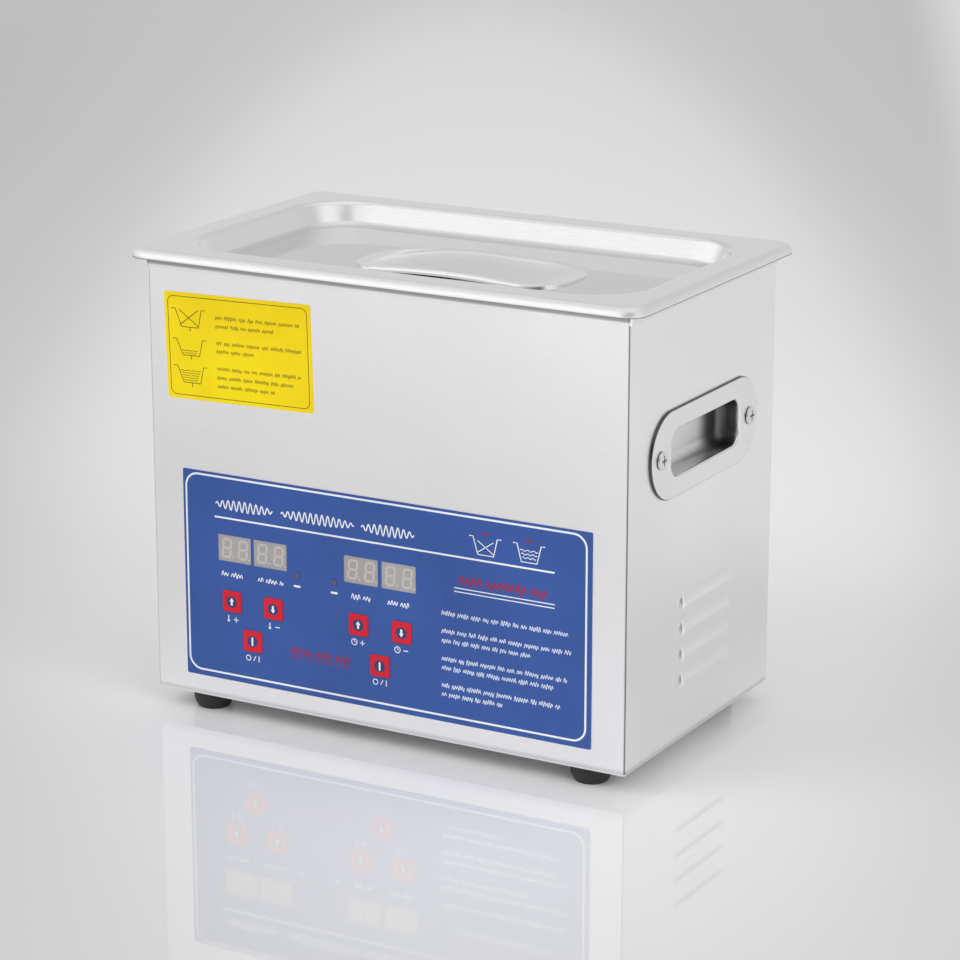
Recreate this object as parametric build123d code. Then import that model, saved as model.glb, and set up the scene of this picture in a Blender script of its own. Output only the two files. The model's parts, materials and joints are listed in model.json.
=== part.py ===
from build123d import *
from math import cos, pi, radians, sin, tan
import os

# Bench-top ultrasonic cleaner, 3 litre class. Millimetres, +Z up, front face towards -Y.
# The origin is on the bench, under the middle of the casing.

# ---------------------------------------------------------------- driving dimensions
CASE_W = 250.0            # casing width, along X
CASE_D = 150.0            # casing depth, along Y
SHEET = 0.8               # stainless sheet of the casing, tank and lid
FOLD_R = 1.2              # outside radius of the casing's upright folds
FOOT_H = 9.0
BASE_T = 1.0
RETURN_W = 8.0            # inward flange at the casing's lower edge
TOP_RETURN_W = 3.2        # inward flange at the casing's upper edge

LID_W, LID_D = 265.0, 165.0
LID_TOP = 223.5
LID_RIM_H = 4.5           # turned-down rim
LID_CORNER_R = 9.0
RIM_ROUND = 3.6           # rolled bend between the ring and the rim
RECESS_W, RECESS_D = 234.0, 134.0
RECESS_DEPTH = 11.0
RECESS_R = 30.0
RECESS_TAPER = 28.0
BEND_R = 3.0

TANK_W, TANK_D = 238.0, 138.0
TANK_DEPTH = 100.0
TANK_R = 32.0
TANK_TAPER = 6.3
SKIRT_GROWTH = 0.85       # how far the tank's skirt stands proud of the casing
SKIRT_H = 8.3

GRIP_L, GRIP_W = 112.0, 50.0
GRIP_X = 4.0              # the grip is welded on slightly right of centre
GRIP_T = 1.0
GRIP_CROWN = 6.6          # crown above the recess floor, to the strap's upper face
GRIP_EDGE = 2.9           # upper face of the long edges at mid-length

HANDLE_Z = 147.8
HANDLE_L, HANDLE_H = 110.0, 41.0
HANDLE_T = 1.3
POCKET_L, POCKET_H = 70.0, 21.5
POCKET_R = 6.5
POCKET_DEPTH = 11.3       # from the plate's outer face to the pocket floor
HANDLE_SCREW_Y = 45.5

LOUVRE_Z = [38.5, 50.9, 63.3, 75.7]
LOUVRE_L, LOUVRE_H, LOUVRE_OUT = 50.0, 7.0, 2.0
LOUVRE_Y = 3.0

PANEL_W, PANEL_H, PANEL_Z = 216.0, 100.8, 69.4
OVERLAY_T = 0.4
DISPLAY_X = {"temp_set": -79.95, "temp_actual": -60.25, "minutes": -11.0, "seconds": 9.05}
DISPLAY_Z = 84.1
DISPLAY_W, DISPLAY_H = 18.2, 12.8
KEYS = {
    "temp_up": (-81.8, 58.2), "temp_down": (-58.8, 58.2), "heat": (-70.6, 40.4),
    "time_up": (-12.4, 58.0), "time_down": (10.7, 58.0), "sonic": (-1.0, 40.0),
}
KEY_SIZE = 10.3
KEY_PROUD = 0.5           # how far a key stands out of the overlay, and how far it travels
LAMPS = [(-45.6, 76.6), (-25.4, 76.4)]
LED_R = 1.5

LABEL_W, LABEL_H = 79.7, 50.4
LABEL_X, LABEL_Z = -75.8, 179.4
LABEL_TILT = 1.4
LABEL_T = 0.25

FOOT_X, FOOT_Y = 102.0, 62.5
BASE_SCREW_X, BASE_SCREW_Y = 120.4, 30.0

TRANSDUCER_X = 60.0
FAN_X, FAN_Z, FAN_SIZE, FAN_T = -60.0, 62.0, 60.0, 15.0
FAN_SCREW_OFFSET = 25.0
VENT_RINGS = [(0, 1), (7.5, 6), (15, 12), (22.5, 18)]   # radius of each ring of holes, and count
VENT_HOLE_R = 2.4
INLET_X, INLET_Z = 70.0, 48.0
SWITCH_X, SWITCH_Z = 70.0, 98.0
SWITCH_TILT = 12.0
BASKET_W, BASKET_D, BASKET_H = 196.0, 96.0, 52.0

# ---------------------------------------------------------------- derived levels
BASE_Z0 = FOOT_H
CASE_Z0 = FOOT_H + BASE_T
FLANGE_TOP = LID_TOP - SHEET
FLANGE_UNDER = FLANGE_TOP - SHEET
GASKET_T = 0.7
CASE_TOP = FLANGE_UNDER - GASKET_T
RECESS_FLOOR = LID_TOP - RECESS_DEPTH
TANK_FLOOR = FLANGE_TOP - TANK_DEPTH
TANK_UNDER = TANK_FLOOR - SHEET
FRONT_Y = -CASE_D / 2
REAR_Y = CASE_D / 2
SIDE_X = CASE_W / 2
INNER_FRONT_Y = FRONT_Y + SHEET
INNER_REAR_Y = REAR_Y - SHEET
BOARD_Y = -67.0           # front face of the control board
BOARD_T = 1.6
POWER_BOARD = (-66.0, 34.0, -48.0, 36.0)      # x from, x to, y from, y to
POWER_BOARD_Z = CASE_Z0 + 8.0
POWER_BOARD_HOLES = [
    (x, y) for x in (POWER_BOARD[0] + 5, POWER_BOARD[1] - 5)
    for y in (POWER_BOARD[2] + 5, POWER_BOARD[3] - 5)
]


# ---------------------------------------------------------------- helpers
def block(x0, x1, y0, y1, z0, z1):
    """Box between two corners."""
    centre = Pos((x0 + x1) / 2, (y0 + y1) / 2, (z0 + z1) / 2)
    return centre * Box(x1 - x0, y1 - y0, z1 - z0)


def prism(w, d, r, z0, z1):
    """Upright rounded box on the Z axis, from z0 to z1."""
    return extrude(Pos(0, 0, z0) * RectangleRounded(w, d, r), z1 - z0)


def tapered_down(w, d, r, z_top, depth, taper):
    """Rounded box that narrows from z_top down."""
    start = Plane(origin=(0, 0, z_top), x_dir=(1, 0, 0), z_dir=(0, 0, -1))
    return extrude(start * RectangleRounded(w, d, r), depth, taper=taper)


def wall(side, u, z, out=0):
    """Sketch plane on a casing wall: local x to the viewer's right, local y up, normal outwards."""
    if side == "front":
        return Plane(origin=(u, FRONT_Y - out, z), x_dir=(1, 0, 0), z_dir=(0, -1, 0))
    if side == "rear":
        return Plane(origin=(u, REAR_Y + out, z), x_dir=(-1, 0, 0), z_dir=(0, 1, 0))
    if side == "right":
        return Plane(origin=(SIDE_X + out, u, z), x_dir=(0, 1, 0), z_dir=(1, 0, 0))
    return Plane(origin=(-SIDE_X - out, u, z), x_dir=(0, -1, 0), z_dir=(-1, 0, 0))


def through(side, u, z, sketch, reach=6):
    """Cutter that runs through the sheet of a casing wall."""
    return extrude(wall(side, u, z) * sketch, reach, both=True)


def outline(*edges):
    """Face inside a closed run of edges."""
    return make_face(Curve() + list(edges))


def rod_y(x, z, r, y0, y1):
    """Cylinder along Y."""
    return Pos(x, (y0 + y1) / 2, z) * Rot(X=90) * Cylinder(r, y1 - y0)


def rod_x(y, z, r, x0, x1):
    """Cylinder along X."""
    return Pos((x0 + x1) / 2, y, z) * Rot(Y=90) * Cylinder(r, x1 - x0)


def rod_z(x, y, r, z0, z1):
    """Cylinder along Z."""
    return Pos(x, y, (z0 + z1) / 2) * Cylinder(r, z1 - z0)


def edges_at(shape, axis, value, tolerance=0.02):
    """Edges that lie wholly in the plane where the axis coordinate has this value."""
    return shape.edges().filter_by_position(axis, value - tolerance, value + tolerance)


def pan_screw(head_r, head_h, shank_r, shank_l):
    """Cross-head pan screw along Z: the head stands on z = 0 and the shank hangs below it."""
    head = Pos(0, 0, head_h / 2) * Cylinder(head_r, head_h)
    head = fillet(edges_at(head, Axis.Z, head_h), head_h * 0.6)
    slot = Pos(0, 0, head_h * 0.75) * Box(head_r * 1.15, head_r * 0.26, head_h)
    cross = slot + Rot(Z=90) * slot
    return head - cross + Pos(0, 0, -shank_l / 2) * Cylinder(shank_r, shank_l)


def m3_screw():
    """The small screw used for the base plate and for both boards."""
    return pan_screw(2.8, 1.9, 1.5, 5.0)


def nut(across, height, bore_r):
    """Hexagon nut that stands on z = 0."""
    blank = extrude(RegularPolygon(across / 2 / cos(pi / 6), 6), height)
    return blank - Pos(0, 0, height / 2) * Cylinder(bore_r, height * 2)


def save(name, shape):
    """Write one sub-part."""
    export_step(shape, f"parts/{name}.step")


def group(pieces):
    """Several loose solids of one sub-part."""
    return Compound(children=[solid for piece in pieces for solid in piece.solids()])


# ---------------------------------------------------------------- casing
def louvre(side, z):
    """Pressed-out hood, and the slot under it: a curved eyebrow that opens downwards."""
    def hood(out, height, length):
        section = outline(
            Line((0, 0), (out, 0)),
            ThreePointArc((out, 0), (out * 0.78, height * 0.62), (0, height)),
            Line((0, height), (0, 0)),
        )
        sign = 1 if side == "right" else -1
        half = length / 2 - out
        upright = Plane(
            origin=(sign * SIDE_X, LOUVRE_Y - half, z - LOUVRE_H / 2),
            x_dir=(sign, 0, 0), z_dir=(0, -sign, 0),
        )
        body = extrude(upright * section, -sign * 2 * half)
        ends = []
        for y in (LOUVRE_Y - half, LOUVRE_Y + half):
            spin = Axis((sign * SIDE_X, y, 0), (0, 0, 1))
            end_plane = Plane(
                origin=(sign * SIDE_X, y, z - LOUVRE_H / 2),
                x_dir=(sign, 0, 0), z_dir=(0, -sign, 0),
            )
            ends.append(revolve(end_plane * section, spin, 360))
        return body + ends[0] + ends[1]

    outer = hood(LOUVRE_OUT, LOUVRE_H, LOUVRE_L)
    inner = hood(LOUVRE_OUT - 0.6, LOUVRE_H - 0.9, LOUVRE_L - 1.2)
    return outer, inner


def make_casing():
    """Folded wrap with inward returns, and every opening in its four walls."""
    height = CASE_TOP - CASE_Z0
    outer = prism(CASE_W, CASE_D, FOLD_R, CASE_Z0, CASE_TOP)
    inner = prism(
        CASE_W - 2 * SHEET, CASE_D - 2 * SHEET, FOLD_R - SHEET, CASE_Z0 + SHEET, CASE_TOP - SHEET
    )
    lower = prism(
        CASE_W - 2 * RETURN_W, CASE_D - 2 * RETURN_W, 4, CASE_Z0 - 1, CASE_Z0 + height / 2
    )
    upper = prism(
        CASE_W - 2 * SHEET - 2 * TOP_RETURN_W, CASE_D - 2 * SHEET - 2 * TOP_RETURN_W,
        TANK_R, CASE_TOP - height / 2, CASE_TOP + 1,
    )
    case = outer - inner - lower - upper

    for x in DISPLAY_X.values():
        case -= through("front", x, DISPLAY_Z, Rectangle(DISPLAY_W + 1.6, DISPLAY_H + 0.6))
    for x, z in KEYS.values():
        case -= through("front", x, z, RectangleRounded(KEY_SIZE + 0.4, KEY_SIZE + 0.4, 1.2))
    for x, z in LAMPS:
        case -= through("front", x, z, Circle(LED_R + 0.2))

    for side in ("right", "left"):
        case -= through(side, 0, HANDLE_Z, RectangleRounded(POCKET_L + 3, POCKET_H + 3, POCKET_R + 1.5))
        for y in (-HANDLE_SCREW_Y, HANDLE_SCREW_Y):
            case -= through(side, y, HANDLE_Z, Circle(2.1))
        for z in LOUVRE_Z:
            outer_hood, inner_hood = louvre(side, z)
            sign = 1 if side == "right" else -1
            outside = block(
                *sorted((sign * (SIDE_X - SHEET / 2), sign * (SIDE_X + 10))), -60, 60, 0, 120
            )
            case += outer_hood & outside
            case -= inner_hood

    for radius, count in VENT_RINGS:
        for i in range(count):
            angle = 2 * pi * i / count
            x = FAN_X + radius * cos(angle)
            z = FAN_Z + radius * sin(angle)
            case -= through("rear", x, z, Circle(VENT_HOLE_R))
    for dx in (-FAN_SCREW_OFFSET, FAN_SCREW_OFFSET):
        for dz in (-FAN_SCREW_OFFSET, FAN_SCREW_OFFSET):
            case -= through("rear", FAN_X + dx, FAN_Z + dz, Circle(2.1))
    case -= through("rear", INLET_X, INLET_Z, Rectangle(28.2, 46.6))
    for dz in (-28, 28):
        case -= through("rear", INLET_X, INLET_Z + dz, Circle(1.6))
    case -= through("rear", SWITCH_X, SWITCH_Z, Rectangle(19.2, 21.2))

    for x in (-BASE_SCREW_X, BASE_SCREW_X):
        for y in (-BASE_SCREW_Y, BASE_SCREW_Y):
            case -= rod_z(x, y, 1.7, 0, 20)
    return case


def make_base_plate():
    """Flat bottom with foot, screw and stand-off holes."""
    plate = prism(CASE_W - 1.2, CASE_D - 1.2, FOLD_R, BASE_Z0, BASE_Z0 + BASE_T)
    for x in (-FOOT_X, FOOT_X):
        for y in (-FOOT_Y, FOOT_Y):
            plate -= rod_z(x, y, 2.1, 0, 20)
    for x in (-BASE_SCREW_X, BASE_SCREW_X):
        for y in (-BASE_SCREW_Y, BASE_SCREW_Y):
            plate -= rod_z(x, y, 1.7, 0, 20)
    for x, y in POWER_BOARD_HOLES:
        plate -= rod_z(x, y, 1.7, 0, 20)
    return plate


def make_feet():
    """Moulded rubber buffers with a sunk screw seat; one sub-part for each corner."""
    profile = outline(
        Line((2.1, FOOT_H), (9.5, FOOT_H)),
        Line((9.5, FOOT_H), (9.5, FOOT_H - 1.2)),
        ThreePointArc((9.5, FOOT_H - 1.2), (9.1, 3.2), (7.4, 0)),
        Line((7.4, 0), (4.6, 0)),
        Line((4.6, 0), (4.6, 4.4)),
        Line((4.6, 4.4), (2.1, 4.4)),
        Line((2.1, 4.4), (2.1, FOOT_H)),
    )
    foot = revolve(Plane.XZ * profile, Axis.Z, 360)
    names = {
        "foot_front_left": (-1, -1), "foot_front_right": (1, -1),
        "foot_rear_left": (-1, 1), "foot_rear_right": (1, 1),
    }
    for name, (sx, sy) in names.items():
        save(name, Pos(sx * FOOT_X, sy * FOOT_Y, 0) * foot)


def make_foot_screws():
    """Screws up through the feet; returns their nuts, which stand on the base plate."""
    screw = Pos(0, 0, 4.4) * Rot(X=180) * pan_screw(3.9, 2.4, 1.95, 9.8)
    places = [Pos(x, y, 0) for x in (-FOOT_X, FOOT_X) for y in (-FOOT_Y, FOOT_Y)]
    save("foot_screws", group([place * screw for place in places]))
    return [place * Pos(0, 0, CASE_Z0) * nut(7, 3.2, 1.95) for place in places]


def make_base_screws():
    """Clinch nuts in the casing's lower return; returns the screws that hold the base plate."""
    places = [
        Pos(x, y, 0) for x in (-BASE_SCREW_X, BASE_SCREW_X) for y in (-BASE_SCREW_Y, BASE_SCREW_Y)
    ]
    clinch = Pos(0, 0, CASE_Z0 + SHEET) * nut(5.5, 2.2, 1.5)
    save("base_nuts", group([place * clinch for place in places]))
    return [place * Pos(0, 0, BASE_Z0) * Rot(X=180) * m3_screw() for place in places]


# ---------------------------------------------------------------- tank
def make_tank():
    """Deep-drawn tank: tapered bowl, flat flange, and a skirt turned down over the casing."""
    bowl_out = tapered_down(
        TANK_W + 2 * SHEET, TANK_D + 2 * SHEET, TANK_R + SHEET, FLANGE_TOP, TANK_DEPTH + SHEET, TANK_TAPER
    )
    bowl_out = fillet(edges_at(bowl_out, Axis.Z, TANK_UNDER), 10 + SHEET)
    bowl_in = tapered_down(TANK_W, TANK_D, TANK_R, FLANGE_TOP, TANK_DEPTH, TANK_TAPER)
    bowl_in = fillet(edges_at(bowl_in, Axis.Z, TANK_FLOOR), 10)

    skirt_w = CASE_W + 2 * SKIRT_GROWTH
    skirt_d = CASE_D + 2 * SKIRT_GROWTH
    rim = prism(skirt_w, skirt_d, FOLD_R + SKIRT_GROWTH, FLANGE_TOP - SKIRT_H, FLANGE_TOP)
    rim = fillet(edges_at(rim, Axis.Z, FLANGE_TOP), 1.4)
    under = prism(
        CASE_W + 0.1, CASE_D + 0.1, FOLD_R + 0.05, FLANGE_TOP - SKIRT_H - 1, FLANGE_UNDER
    )
    tank = rim - under + bowl_out - bowl_in
    mouth = edges_at(tank, Axis.Z, FLANGE_TOP).filter_by(
        lambda e: abs(e.center().X) < TANK_W / 2 + 0.1 and abs(e.center().Y) < TANK_D / 2 + 0.1
    )
    return fillet(mouth, 0.6)


def make_gasket():
    """Flat rubber strip between the casing's upper return and the tank flange."""
    outer = prism(CASE_W - 0.6, CASE_D - 0.6, FOLD_R, CASE_TOP, FLANGE_UNDER)
    hole_w = CASE_W - 2 * SHEET - 2 * TOP_RETURN_W + 0.6
    hole_d = CASE_D - 2 * SHEET - 2 * TOP_RETURN_W + 0.6
    return outer - prism(hole_w, hole_d, TANK_R, CASE_TOP - 1, FLANGE_UNDER + 1)


# ---------------------------------------------------------------- lid
def make_lid():
    """Pressed lid: flat ring, sunk middle that plugs the tank, and a turned-down rim."""
    plug = tapered_down(
        RECESS_W + 2 * SHEET, RECESS_D + 2 * SHEET, RECESS_R + SHEET,
        LID_TOP, RECESS_DEPTH + SHEET, RECESS_TAPER,
    )
    plug = fillet(edges_at(plug, Axis.Z, RECESS_FLOOR - SHEET), 4 + SHEET)
    recess = tapered_down(RECESS_W, RECESS_D, RECESS_R, LID_TOP, RECESS_DEPTH, RECESS_TAPER)
    recess = fillet(edges_at(recess, Axis.Z, RECESS_FLOOR), 4)

    rim = prism(LID_W, LID_D, LID_CORNER_R, LID_TOP - LID_RIM_H, LID_TOP)
    rim = fillet(edges_at(rim, Axis.Z, LID_TOP), RIM_ROUND)
    under = prism(
        LID_W - 2 * SHEET, LID_D - 2 * SHEET, LID_CORNER_R - SHEET,
        LID_TOP - LID_RIM_H - 1, LID_TOP - SHEET,
    )
    under = fillet(edges_at(under, Axis.Z, LID_TOP - SHEET), RIM_ROUND - SHEET)
    lid = rim - under + plug - recess
    bend = edges_at(lid, Axis.Z, LID_TOP).filter_by(
        lambda e: abs(e.center().X) < RECESS_W / 2 + 0.1 and abs(e.center().Y) < RECESS_D / 2 + 0.1
    )
    return fillet(bend, BEND_R)


def make_lid_grip():
    """Low crowned strap, spot-welded to the recess floor by its flat ends."""
    floor = RECESS_FLOOR
    end_x = GRIP_L / 2
    long_r = (end_x ** 2 + GRIP_CROWN ** 2) / (2 * GRIP_CROWN)
    sag = GRIP_CROWN - GRIP_EDGE
    cross_r = ((GRIP_W / 2) ** 2 + sag ** 2) / (2 * sag)
    crown_z = floor + GRIP_CROWN
    spin = Axis((GRIP_X, 0, crown_z - long_r), (0, 1, 0))

    def dome(drop):
        half = GRIP_W / 2 + 2
        fall = cross_r - (cross_r ** 2 - half ** 2) ** 0.5
        section = outline(
            ThreePointArc((-half, crown_z - drop - fall), (0, crown_z - drop),
                          (half, crown_z - drop - fall)),
            Line((half, crown_z - drop - fall), (half, crown_z - 60)),
            Line((half, crown_z - 60), (-half, crown_z - 60)),
            Line((-half, crown_z - 60), (-half, crown_z - drop - fall)),
        )
        plane = Plane(origin=(GRIP_X, 0, 0), x_dir=(0, 1, 0), z_dir=(1, 0, 0))
        half_turn = 16
        return revolve(turned_about(spin, -half_turn) * (plane * section), spin, 2 * half_turn)

    prism_up = extrude(Pos(GRIP_X, 0, floor) * RectangleRounded(GRIP_L, GRIP_W, 21), 12)
    strap = (dome(0) - dome(GRIP_T)) & prism_up
    pad = extrude(Pos(GRIP_X, 0, floor) * RectangleRounded(GRIP_L, GRIP_W, 21), GRIP_T)
    pad -= block(GRIP_X - 34, GRIP_X + 34, -GRIP_W, GRIP_W, floor - 1, floor + 5)
    return strap + pad


def turned_about(axis, angle):
    """Location that turns about an axis parallel to Y."""
    o = axis.position
    return Pos(o.X, o.Y, o.Z) * Rot(Y=angle) * Pos(-o.X, -o.Y, -o.Z)


# ---------------------------------------------------------------- side handles
def make_handle(side):
    """Pressed plate with a finger pocket; its flange lies on the casing wall."""
    flange = extrude(wall(side, 0, HANDLE_Z) * SlotOverall(HANDLE_L, HANDLE_H), HANDLE_T)
    sign = 1 if side == "right" else -1
    face_x = sign * (SIDE_X + HANDLE_T)
    flange = fillet(edges_at(flange, Axis.X, face_x), 0.9)
    depth_in = POCKET_DEPTH - HANDLE_T
    outer = RectangleRounded(POCKET_L + 1.6, POCKET_H + 1.6, POCKET_R + 0.8)
    cup = extrude(wall(side, 0, HANDLE_Z) * outer, -depth_in - SHEET)
    cup = fillet(edges_at(cup, Axis.X, sign * (SIDE_X - depth_in - SHEET)), 5.8)
    inner = RectangleRounded(POCKET_L, POCKET_H, POCKET_R)
    hollow = extrude(wall(side, 0, HANDLE_Z, HANDLE_T) * inner, -POCKET_DEPTH)
    hollow = fillet(edges_at(hollow, Axis.X, sign * (SIDE_X - depth_in)), 5)
    plate = flange + cup - hollow
    mouth = edges_at(plate, Axis.X, face_x).filter_by(
        lambda e: abs(e.center().Z - HANDLE_Z) < POCKET_H / 2 + 0.2
        and abs(e.center().Y) < POCKET_L / 2 + 0.2
    )
    plate = fillet(mouth, 1.2)
    for y in (-HANDLE_SCREW_Y, HANDLE_SCREW_Y):
        plate -= through(side, y, HANDLE_Z, Circle(2.1))
    return plate


def make_handle_screws():
    """Cross-head screws of both side handles; returns their nuts."""
    screws, nuts = [], []
    for side in ("right", "left"):
        for y in (-HANDLE_SCREW_Y, HANDLE_SCREW_Y):
            head = Location(wall(side, y, HANDLE_Z, HANDLE_T))
            screws.append(head * pan_screw(4.2, 1.5, 1.95, 7.5))
            seat = Location(wall(side, y, HANDLE_Z, -SHEET - 3.2))
            nuts.append(seat * nut(7, 3.2, 1.95))
    save("handle_screws", group(screws))
    return nuts


# ---------------------------------------------------------------- control panel
def make_overlay():
    """Printed plastic overlay with windows, lamp holes and key openings."""
    sheet = extrude(wall("front", 0, PANEL_Z) * RectangleRounded(PANEL_W, PANEL_H, 0.8), OVERLAY_T)
    for x in DISPLAY_X.values():
        sheet -= through("front", x, DISPLAY_Z, Rectangle(DISPLAY_W, DISPLAY_H))
    for x, z in KEYS.values():
        sheet -= through("front", x, z, RectangleRounded(KEY_SIZE + 0.2, KEY_SIZE + 0.2, 1.2))
    for x, z in LAMPS:
        sheet -= through("front", x, z, Circle(LED_R + 0.1))
    return sheet


def make_displays():
    """Clear windows in the overlay, and a two-digit display module behind each."""
    windows = []
    for name, x in DISPLAY_X.items():
        face = wall("front", x, DISPLAY_Z) * Rectangle(DISPLAY_W, DISPLAY_H)
        windows.append(extrude(face, OVERLAY_T))
        save(f"display_{name}", extrude(face, FRONT_Y - BOARD_Y))
    save("display_windows", group(windows))


def make_lamps():
    """Round indicator lamps that stand on the control board."""
    lamps = [rod_y(x, z, LED_R, FRONT_Y - OVERLAY_T - 0.2, BOARD_Y) for x, z in LAMPS]
    save("indicator_lamps", group(lamps))


def make_keys():
    """Push keys: a cap in the overlay, a retaining flange behind the casing, and a stem."""
    for name, (x, z) in KEYS.items():
        front = FRONT_Y - OVERLAY_T - KEY_PROUD
        cap = extrude(
            wall("front", x, z, -SHEET) * RectangleRounded(KEY_SIZE, KEY_SIZE, 1.1),
            INNER_FRONT_Y - front,
        )
        cap = fillet(edges_at(cap, Axis.Y, front), 0.35)
        flange = block(x - 6.2, x + 6.2, INNER_FRONT_Y, INNER_FRONT_Y + 0.9, z - 6.2, z + 6.2)
        stem = rod_y(x, z, 1.7, INNER_FRONT_Y + 0.5, -68.5)
        save(f"key_{name}", cap + flange + stem)


def make_control_board():
    """Board behind the panel with its switches and parts; returns its stand-offs and screws."""
    x0, x1, z0, z1 = -98.0, 27.0, 27.0, 99.0
    corners = [(x, z) for x in (x0 + 4, x1 - 4) for z in (z0 + 4, z1 - 4)]
    board = block(x0, x1, BOARD_Y, BOARD_Y + BOARD_T, z0, z1)
    standoffs, screws = [], []
    for x, z in corners:
        board -= rod_y(x, z, 1.5, BOARD_Y - 1, BOARD_Y + 3)
        standoffs.append(
            rod_y(x, z, 2.6, INNER_FRONT_Y, BOARD_Y) - rod_y(x, z, 1.5, INNER_FRONT_Y + 2, BOARD_Y + 1)
        )
        seat = Location(Plane(origin=(x, BOARD_Y + BOARD_T, z), x_dir=(-1, 0, 0), z_dir=(0, 1, 0)))
        screws.append(seat * m3_screw())
    save("control_board", board)

    switches = []
    for x, z in KEYS.values():
        body = block(x - 3, x + 3, -71.0, BOARD_Y, z - 3, z + 3)
        switches.append(body - rod_y(x, z, 1.85, -72, -67.5))
    save("tact_switches", group(switches))

    back = BOARD_Y + BOARD_T
    relay_out = block(-62, -43, back, back + 15, 48, 63.5)
    chip = block(-10, 14, back, back + 3.4, 62, 70)
    save("control_parts", group([relay_out, Pos(26, 0, 0) * relay_out, chip]))
    return standoffs, screws


# ---------------------------------------------------------------- label
def make_label():
    """Rectangular sticker, put on a little out of level."""
    plane = wall("front", LABEL_X, LABEL_Z)
    return extrude(plane * Rot(Z=LABEL_TILT) * RectangleRounded(LABEL_W, LABEL_H, 1.4), LABEL_T)


# ---------------------------------------------------------------- under the tank
def make_transducers():
    """Two bolted sandwich transducers, each bonded to the underside of the tank."""
    horns, rings, tabs, backs, bolts = [], [], [], [], []
    ring_t, tab_t, back_h, horn_h = 5.0, 0.4, 22.0, 26.0
    top = TANK_UNDER
    for x in (-TRANSDUCER_X, TRANSDUCER_X):
        horn = Pos(x, 0, top - horn_h / 2) * Rot(X=180) * Cone(19, 23, horn_h)
        horns.append(horn - rod_z(x, 0, 5, top - horn_h - 1, top - 8))
        z = top - horn_h
        for _ in range(2):
            rings.append(rod_z(x, 0, 19, z - ring_t, z) - rod_z(x, 0, 7.5, z - 6, z + 1))
            z -= ring_t + tab_t
            tab = rod_z(x, 0, 19, z, z + tab_t) + block(x + 17, x + 27, -3, 3, z, z + tab_t)
            tabs.append(tab - rod_z(x, 0, 7.5, z - 1, z + 1))
        backs.append(rod_z(x, 0, 19, z - back_h, z) - rod_z(x, 0, 5.4, z - back_h - 1, z + 1))
        shank = rod_z(x, 0, 5, z - back_h, top - 8)
        head = rod_z(x, 0, 8.5, z - back_h - 8, z - back_h)
        socket = extrude(Pos(x, 0, z - back_h - 9) * RegularPolygon(4.6, 6), 6)
        bolts.append(shank + head - socket)
    save("transducer_horns", group(horns))
    save("piezo_rings", group(rings))
    save("electrodes", group(tabs))
    save("transducer_backings", group(backs))
    save("transducer_bolts", group(bolts))


def make_heater():
    """Silicone heating pad bonded under the tank, and its thermostat button."""
    save("heating_pad", prism(62, 92, 4, TANK_UNDER - 1.6, TANK_UNDER))
    button = rod_z(0, 0, 8, TANK_UNDER - 10.6, TANK_UNDER - 1.6)
    ears = prism(28, 8, 3.9, TANK_UNDER - 2.6, TANK_UNDER - 1.6)
    save("temperature_sensor", button + ears)


# ---------------------------------------------------------------- generator board
def make_generator():
    """Ultrasonic generator board and its parts; returns its stand-offs and screws."""
    x0, x1, y0, y1 = POWER_BOARD
    board = block(x0, x1, y0, y1, POWER_BOARD_Z, POWER_BOARD_Z + BOARD_T)
    posts, screws = [], []
    for x, y in POWER_BOARD_HOLES:
        board -= rod_z(x, y, 1.5, 0, 40)
        posts.append(rod_z(x, y, 3, CASE_Z0, POWER_BOARD_Z) - rod_z(x, y, 1.5, CASE_Z0 - 1, 40))
        screws.append(Pos(x, y, POWER_BOARD_Z + BOARD_T) * m3_screw())
    save("generator_board", board)

    top = POWER_BOARD_Z + BOARD_T
    sink = block(-52, 4, -42, -38, top, top + 28)
    for i in range(8):
        x = -52 + i * 7.6
        sink += block(x, x + 1.8, -38, -24, top, top + 28)
    save("heat_sink", sink)
    transistors = []
    for x in (-42, -18):
        body = block(x, x + 15, -46.6, -42, top + 4, top + 24)
        transistors.append(body - rod_y(x + 7.5, top + 20, 1.7, -47, -41))
    save("power_transistors", group(transistors))

    core = block(-2, 30, -12, 22, top, top + 27)
    core -= block(3, 25, -13, 23, top + 6, top + 21)
    core += block(9, 19, -12, 22, top + 6, top + 21)
    save("transformer_core", core)
    coil = block(3.2, 24.8, -7, 17, top + 6.2, top + 20.8)
    coil -= block(9, 19, -8, 18, top + 6, top + 21)
    inductor = Pos(-24, -8, top + 5.5) * Torus(9, 5.4)
    save("windings", group([coil, inductor]))
    caps = [rod_z(-50, 10, 8, top, top + 26), rod_z(-31, 14, 8, top, top + 26)]
    caps = [fillet(edges_at(c, Axis.Z, top + 26), 1) for c in caps]
    save("capacitors", group(caps))
    return posts, screws


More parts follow.
